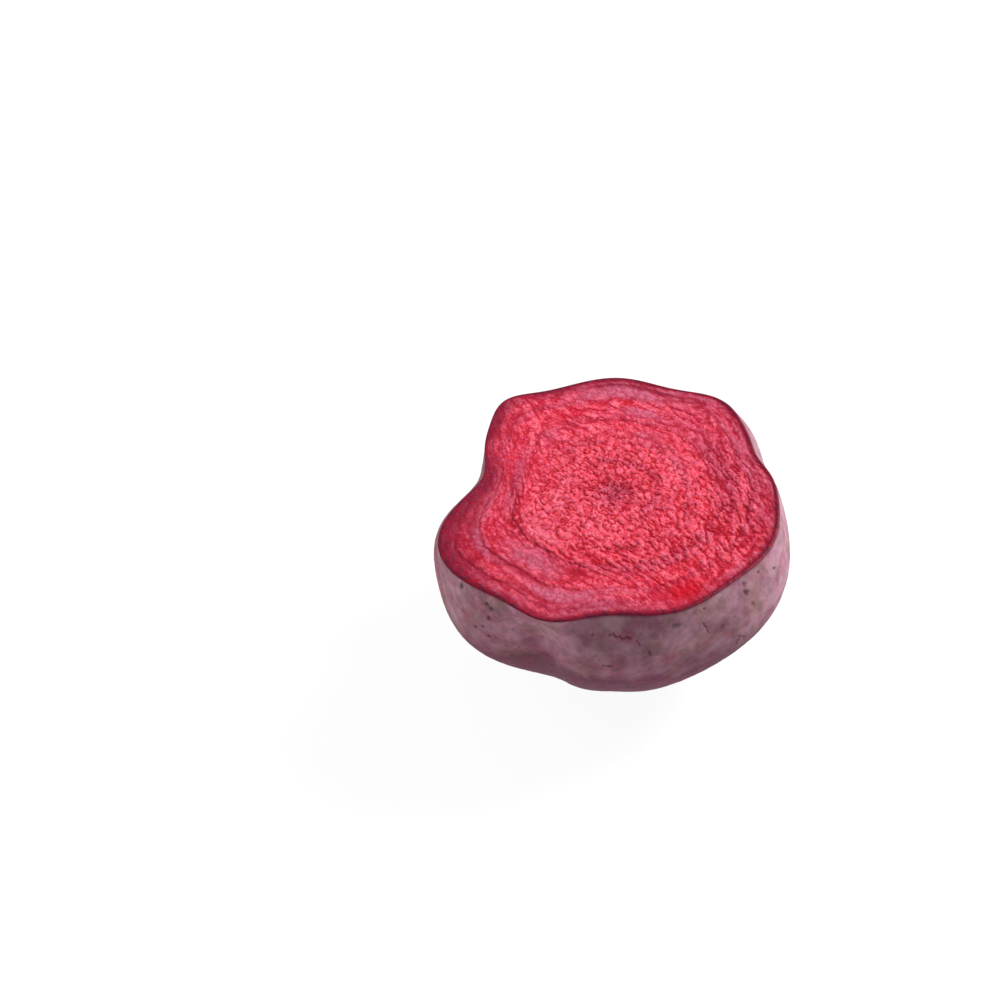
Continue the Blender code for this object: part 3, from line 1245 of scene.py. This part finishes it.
@dataclass(frozen=True)
class WetFlesh:
    """Raw beetroot flesh, cut with a knife and left a while: juice stands on it as a thin wet film.

    The film gives sharp small glints, and the flesh under it lets light in a little way and looks
    lit from within. Shade is painted dark wine red into the wrinkles between its lumps, a highlight
    is painted pink onto their tops, and sheen is painted mauve onto smooth patches.
    """

    # The low colour is painted shade in the lumps' hollows and the high one a painted highlight on their
    # tops
    low: str = "#cc2640"
    high: str = "#f45a70"
    layers: tuple[Layer, ...] = (
        Layer("coral", "#fa5468", 0.55),
        # Painted pink highlight
        Layer("painted_highlight", "#ff869e", 0.72),
        Layer("warm", "#f02c38", 0.5),
        Layer("cool", "#d25080", 0.5),
        Layer("mauve", "#ae4664", 0.75),
        # Painted sheen
        Layer("satin", "#c46683", 0.85),
        # Painted shade in the creases
        Layer("crease_shade", "#ac0016", 0.95),
        # Painted shade in the creases where the flesh is mauve
        Layer("mauve_crease_shade", "#6a1034", 0.75),
        Layer("blood", "#a00c28", 0.8),
        Layer("soaked", "#c60420", 0.92),
        Layer("plum", "#6a1432", 0.85),
        Layer("line", "#7e102e", 0.95),
        Layer("skin_line", "#64142e"),
    )
    # Painted shade for the gaps between the fibres' ridges
    fibre_gap_shade: str = "#a00420"
    subsurface: float = 0.25
    light_reach: tuple[float, float, float] = (1.2, 0.3, 0.25)
    fibre_width: float = 0.9
    fibre_stretch: float = 1.3
    fibre_degrees: float = -60.0
    fibre_gap: float = 0.10
    fibre_height: float = 1.2
    grain: float = 0.5
    grain_height: float = 0.12
    speckle: float = 0.7
    roughness: tuple[float, float] = (0.32, 0.54)
    glare: float = 0.2
    ior: float = 1.36

    def make(self) -> bpy.types.Material:
        """Builds the material, which reads the cut face's fields.

        Returns:
            The material.
        """
        material, tree, shader = new_material("wet_beetroot_flesh")
        rise = add_node(tree, "ShaderNodeAttribute", {"attribute_name": "rise"}).outputs["Fac"]
        grain = noise_in_mm(tree, self.grain, 3.0, 0.6)
        most = self.speckle
        speckle = {"Value": grain, "From Min": 0.3, "From Max": 0.7, "To Min": -most, "To Max": most}
        speckle = add_node(tree, "ShaderNodeMapRange", {}, speckle).outputs[0]
        held = {"operation": "ADD", "use_clamp": True}
        rise = add_node(tree, "ShaderNodeMath", held, {0: rise, 1: speckle}).outputs[0]
        # Painted shade in the hollows going over to a painted highlight on the lumps' tops, shifted at
        # random by the grain
        ends = {FACTOR: rise, MIX_A: linear(self.low), MIX_B: linear(self.high)}
        base = add_node(tree, "ShaderNodeMix", {"data_type": "RGBA"}, ends).outputs[MIXED]
        fibres = self.fibres(tree)
        # Painted shade in the fine gaps between the fibres' ridges
        dark = {"Value": fibres, "From Max": self.fibre_gap, "To Min": 0.55, "To Max": 0.0}
        dark = add_node(tree, "ShaderNodeMapRange", {}, dark).outputs[0]
        colour = layered_colour(tree, base, self.layers)
        colour = {FACTOR: dark, MIX_A: colour, MIX_B: linear(self.fibre_gap_shade)}
        colour = add_node(tree, "ShaderNodeMix", {"data_type": "RGBA"}, colour).outputs[MIXED]
        tree.links.new(colour, shader.inputs["Base Color"])
        lowest, highest = self.roughness
        film = {"Value": grain, "To Min": lowest, "To Max": highest}
        film = add_node(tree, "ShaderNodeMapRange", {}, film).outputs[0]
        tree.links.new(film, shader.inputs["Roughness"])
        ridges = {"Height": fibres, "Strength": 0.35, "Distance": self.fibre_height * MM}
        ridges = add_node(tree, "ShaderNodeBump", {}, ridges).outputs[0]
        grit = {"Height": grain, "Strength": 0.5, "Distance": self.grain_height * MM}
        grit["Normal"] = ridges
        tree.links.new(add_node(tree, "ShaderNodeBump", {}, grit).outputs[0], shader.inputs["Normal"])
        shader.inputs["Specular IOR Level"].default_value = self.glare
        shader.inputs["IOR"].default_value = self.ior
        shader.inputs["Subsurface Weight"].default_value = self.subsurface
        shader.inputs["Subsurface Radius"].default_value = self.light_reach
        shader.inputs["Subsurface Scale"].default_value = MM
        return material

    def fibres(self, tree: bpy.types.NodeTree) -> bpy.types.NodeSocket:
        """Fine ridges drawn out along the knife's way: 0 in the gaps between them, and about 0.2 on top.

        They are the distance of a noise from its middle value, so each gap is a thin line.

        Args:
            tree: The material's node tree.

        Returns:
            The ridges' height.
        """
        place = add_node(tree, "ShaderNodeTexCoord").outputs["Object"]
        turned = {"Vector": place, "Rotation": (0, 0, math.radians(self.fibre_degrees))}
        turned["Scale"] = (self.fibre_stretch, 1, 1)
        place = add_node(tree, "ShaderNodeMapping", {"vector_type": "TEXTURE"}, turned).outputs[0]
        inputs = {"Vector": place, "Scale": 1 / (self.fibre_width * 2 * MM), "Detail": 2.0}
        noise = add_node(tree, "ShaderNodeTexNoise", {}, inputs).outputs["Fac"]
        away = {0: noise, 1: 0.5}
        away = add_node(tree, "ShaderNodeMath", {"operation": "SUBTRACT"}, away).outputs[0]
        return add_node(tree, "ShaderNodeMath", {"operation": "ABSOLUTE"}, {0: away}).outputs[0]


@dataclass(frozen=True)
class DrySkin:
    """Beetroot skin: a thin dull cork over purple flesh, washed but with earth left in its pores.

    It scatters light without gloss, so that its greys and browns lie like dust over the purple.
    """

    light: str = "#b66a80"
    dark: str = "#72384c"
    layers: tuple[Layer, ...] = (
        # Painted light, with random mottling
        Layer("painted_light_and_mottle", "#b892a0", 0.75),
        Layer("earth", "#96745c", 0.60),
        Layer("olive", "#6c5a54", 0.38),
        # Painted shade, with random mottling
        Layer("painted_shade_and_mottle", "#5a2640", 0.80),
        Layer("rust", "#8a3048", 0.60),
        Layer("crack", "#641e32", 0.70),
        Layer("pit", "#3c2c2a", 0.80),
    )
    mottle: float = 1.8
    grain: float = 0.6
    grain_height: float = 0.15
    roughness: float = 0.72
    glare: float = 0.12

    def make(self) -> bpy.types.Material:
        """Builds the material, which reads the skin's fields.

        Returns:
            The material.
        """
        material, tree, shader = new_material("dry_beetroot_skin")
        mottle = noise_in_mm(tree, self.mottle, 6.0, 0.8)
        share = {"Value": mottle, "From Min": 0.36, "From Max": 0.64}
        mottle = add_node(tree, "ShaderNodeMapRange", {}, share).outputs[0]
        ends = {FACTOR: mottle, MIX_A: linear(self.dark), MIX_B: linear(self.light)}
        base = add_node(tree, "ShaderNodeMix", {"data_type": "RGBA"}, ends).outputs[MIXED]
        tree.links.new(layered_colour(tree, base, self.layers), shader.inputs["Base Color"])
        grain = {"Height": noise_in_mm(tree, self.grain, 4.0, 0.7), "Strength": 0.4}
        grain["Distance"] = self.grain_height * MM
        tree.links.new(add_node(tree, "ShaderNodeBump", {}, grain).outputs[0], shader.inputs["Normal"])
        shader.inputs["Roughness"].default_value = self.roughness
        shader.inputs["Specular IOR Level"].default_value = self.glare
        return material


@dataclass(frozen=True)
class CorkyScar:
    """The trimmed root's end, healed over: light brown cork, dull and dry."""

    dark: str = "#4a3028"
    cork: str = "#8a6a55"
    layers: tuple[Layer, ...] = (Layer("ring", "#a3856c", 0.5),)
    mottle: float = 2.0
    roughness: float = 0.85

    def make(self) -> bpy.types.Material:
        """Builds the material, which reads the scar's rings.

        Returns:
            The material.
        """
        material, tree, shader = new_material("root_cork")
        mottle = noise_in_mm(tree, self.mottle, 5.0, 0.7)
        ends = {FACTOR: mottle, MIX_A: linear(self.dark), MIX_B: linear(self.cork)}
        base = add_node(tree, "ShaderNodeMix", {"data_type": "RGBA"}, ends).outputs[MIXED]
        tree.links.new(layered_colour(tree, base, self.layers), shader.inputs["Base Color"])
        shader.inputs["Roughness"].default_value = self.roughness
        return material


@dataclass(frozen=True)
class Beetroot:
    """The half beetroot: one skin of points from the growth centre round to the scar, in five pieces.

    The flesh and the skin are each two meshes, so that none is too heavy. Neighbours share their
    border's points and normals, so no seam shows.
    """

    form: RootForm = RootForm()
    columns: int = 900

    def make(self, foot: np.ndarray, low: np.ndarray, high: np.ndarray) -> None:
        """Builds the pieces with their finishes, held inside the solid's box.

        Args:
            foot: Foot of the growth axis in the frame, in millimetres.
            low: The solid's lowest corner, in millimetres.
            high: Its highest corner.
        """
        bearing = np.arange(self.columns)[None] * (FULL_TURN / self.columns)
        face = CutFace(self.form, bearing)
        skin = SkinShell(self.form, bearing)
        scar = RootScar(self.form, bearing)
        sheets = [face.sheet(), skin.sheet(), scar.sheet()]
        for sheet in sheets:
            sheet.points = np.clip(sheet.points, low - foot, high - foot)
        whole = [sheets[0].points] + [sheet.points[1:] for sheet in sheets[1:]]
        normals = outward(np.concatenate(whole))
        first = 0
        for sheet in sheets:
            sheet.normals = normals[first : first + len(sheet.points)]
            first += len(sheet.points) - 1
        flesh, dry, cork = WetFlesh().make(), DrySkin().make(), CorkyScar().make()
        cut, shell, end = sheets
        cut.rows(0, face.split_row).piece("flesh_heart", foot, flesh, Slot.FLESH)
        cut.rows(face.split_row, len(cut.points)).piece("flesh_outer_rings", foot, flesh, Slot.FLESH)
        shell.rows(0, skin.split_row).piece("skin_shoulder", foot, dry, Slot.SKIN)
        shell.rows(skin.split_row, len(shell.points)).piece("skin_underside", foot, dry, Slot.SKIN)
        end.piece("root_scar", foot, cork, Slot.SCAR)


@dataclass(frozen=True)
class Lamp:
    """A square soft light: its offset from the growth centre and size in metres, and power in watts."""

    name: str
    offset: tuple[float, float, float]
    size: float
    power: float


@dataclass(frozen=True)
class Studio:
    """A white table lit from above and behind, with a long lens that looks down on the cut face.

    The growth centre comes at this pixel of a 1000 by 1000 image. The camera's distance from it,
    the width of the view at that distance and the sensor's width are in millimetres, and the
    table's reach to each side is in metres.
    """

    elevation_degrees: float = 45.0
    centre_pixel: tuple[float, float] = (615.0, 492.0)
    image_pixels: float = 1000.0
    distance: float = 750.0
    view_width: float = 255.6
    sensor: float = 36.0
    horizon_light: float = 0.6
    zenith_light: float = 0.2
    table_reach: float = 4.0
    table_colour: str = "#585858"
    table_glow: float = 0.93
    lamps: tuple[Lamp, ...] = (
        Lamp("key", (0.80, 0.45, 0.75), 0.45, 18.3),
        Lamp("left", (-0.85, 0.25, 0.5), 0.6, 4.0),
    )

    def camera(self, target: np.ndarray) -> None:
        """Sets the camera so that the target comes at its pixel.

        Args:
            target: The growth centre, in millimetres in the frame.
        """
        tilt = math.radians(self.elevation_degrees)
        right = np.array([1.0, 0.0, 0.0])
        ahead = np.array([0.0, math.cos(tilt), -math.sin(tilt)])
        above = np.cross(right, ahead)
        half = self.image_pixels / 2
        across = (self.centre_pixel[0] - half) / self.image_pixels * self.view_width
        upward = (half - self.centre_pixel[1]) / self.image_pixels * self.view_width
        eye = target - ahead * self.distance - right * across - above * upward
        lens = bpy.data.cameras.new("camera")
        lens.sensor_width = self.sensor
        lens.lens = self.sensor * self.distance / self.view_width
        lens.clip_start = 0.01
        camera = bpy.data.objects.new("camera", lens)
        camera.location = Vector(eye) * MM
        camera.rotation_euler = (math.pi / 2 - tilt, 0, 0)
        bpy.context.scene.collection.objects.link(camera)
        bpy.context.scene.camera = camera

    def light(self, lamp: Lamp, aim: Vector) -> None:
        """Hangs a lamp at its offset from the aim, which it shines at.

        Args:
            lamp: The lamp.
            aim: The growth centre, in metres.
        """
        source = bpy.data.lights.new(lamp.name, "AREA")
        source.size = lamp.size
        source.energy = lamp.power
        offset = Vector(lamp.offset)
        piece = bpy.data.objects.new(lamp.name, source)
        piece.location = aim + offset
        piece.rotation_euler = (-offset).to_track_quat("-Z", "Y").to_euler()
        bpy.context.scene.collection.objects.link(piece)

    def world(self) -> None:
        """A white room, brightest at the horizon and dimmer above, where the lamps do the work."""
        world = bpy.data.worlds.new("studio")
        world.use_nodes = True
        tree = world.node_tree
        way = add_node(tree, "ShaderNodeTexCoord").outputs["Generated"]
        upward = add_node(tree, "ShaderNodeSeparateXYZ", {}, {"Vector": way}).outputs["Z"]
        near, over = self.horizon_light, self.zenith_light
        fade = {"Value": upward, "From Max": 0.6, "To Min": near, "To Max": over}
        strength = add_node(tree, "ShaderNodeMapRange", {}, fade).outputs[0]
        backdrop = tree.nodes["Background"]
        backdrop.inputs["Color"].default_value = (1, 1, 1, 1)
        tree.links.new(strength, backdrop.inputs["Strength"])
        bpy.context.scene.world = world

    def floor(self) -> None:
        """Lays the table with its top at height zero: opal acrylic that glows a little from below."""
        mesh = bpy.data.meshes.new("light_table")
        reach = self.table_reach
        corners = [(-reach, -reach, 0), (reach, -reach, 0), (reach, reach, 0), (-reach, reach, 0)]
        mesh.from_pydata(corners, [], [(0, 1, 2, 3)])
        material, _, shader = new_material("opal_acrylic")
        shader.inputs["Base Color"].default_value = linear(self.table_colour)
        shader.inputs["Roughness"].default_value = 0.6
        shader.inputs["Emission Color"].default_value = (1, 1, 1, 1)
        shader.inputs["Emission Strength"].default_value = self.table_glow
        mesh.materials.append(material)
        table = bpy.data.objects.new("light_table", mesh)
        bpy.context.scene.collection.objects.link(table)

    def make(self, target: np.ndarray) -> None:
        """Builds the room, the table, the lamps and the camera.

        Args:
            target: The growth centre, in millimetres in the frame.
        """
        bpy.context.scene.view_settings.view_transform = "Standard"
        self.world()
        self.floor()
        aim = Vector(target) * MM
        for lamp in self.lamps:
            self.light(lamp, aim)
        self.camera(target)


def main() -> None:
    """Builds the beetroot's pieces on the frame, then the studio."""
    logging.basicConfig(level=logging.INFO)
    beetroot = Beetroot()
    low, high = (np.array(corner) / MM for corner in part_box("beetroot"))
    foot = beetroot.form.axis_in_frame(low, high)
    log.info("growth axis at %s mm", foot.round(3))
    beetroot.make(foot, low, high)
    Studio().make(foot + np.array([0.0, 0.0, beetroot.form.cut_height]))


if __name__ == "__main__":
    main()
